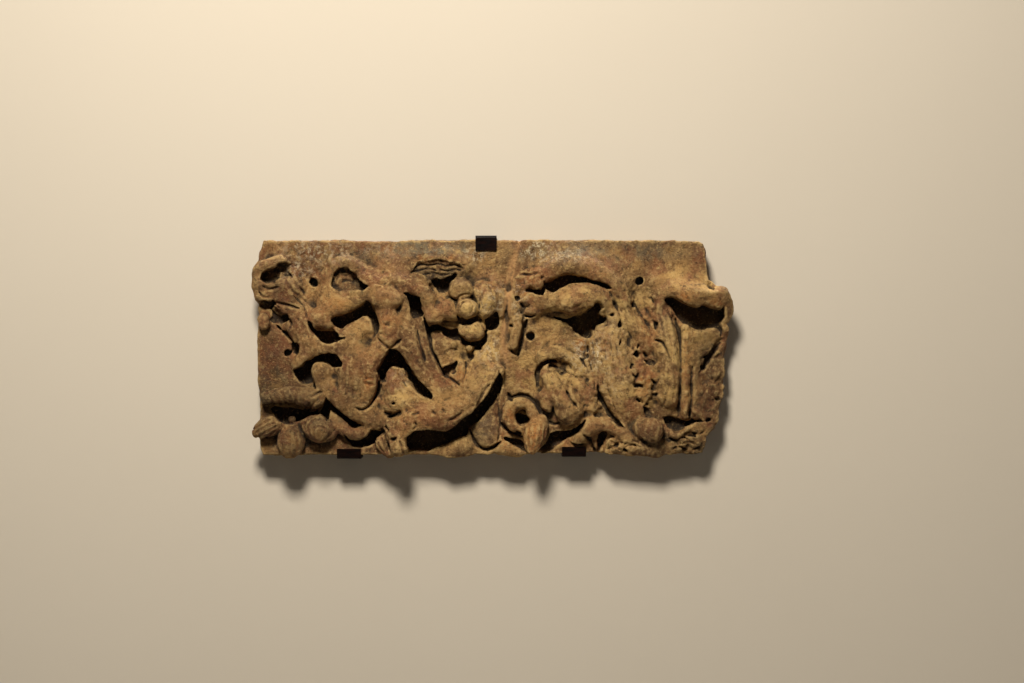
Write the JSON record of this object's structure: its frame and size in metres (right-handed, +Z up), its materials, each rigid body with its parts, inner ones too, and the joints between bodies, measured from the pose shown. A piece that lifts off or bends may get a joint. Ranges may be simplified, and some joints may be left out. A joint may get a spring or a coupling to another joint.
{
  "type": "terracotta relief plaque",
  "caption": "Long low terracotta slab with a headless figure in an acanthus scroll in high relief, held flat on a wall by bent steel clips over its edges.",
  "frame": {"origin": "middle of the top clip's face that lies on the wall", "axes": "+Z up, +Y into the wall, the relief faces -Y, +X to the viewer's right"},
  "size_m": [0.4809, 0.0584, 0.224],
  "materials": {
    "terracotta": "worn unglazed fired clay, pitted, with lime and dark earth in its hollows",
    "clip_steel": "satin dark brown-black"
  },
  "bodies": {
    "root": {"relief_slab": "terracotta", "clip_top": "clip_steel", "clip_bottom_left": "clip_steel", "clip_bottom_right": "clip_steel"}
  },
  "joints": []
}
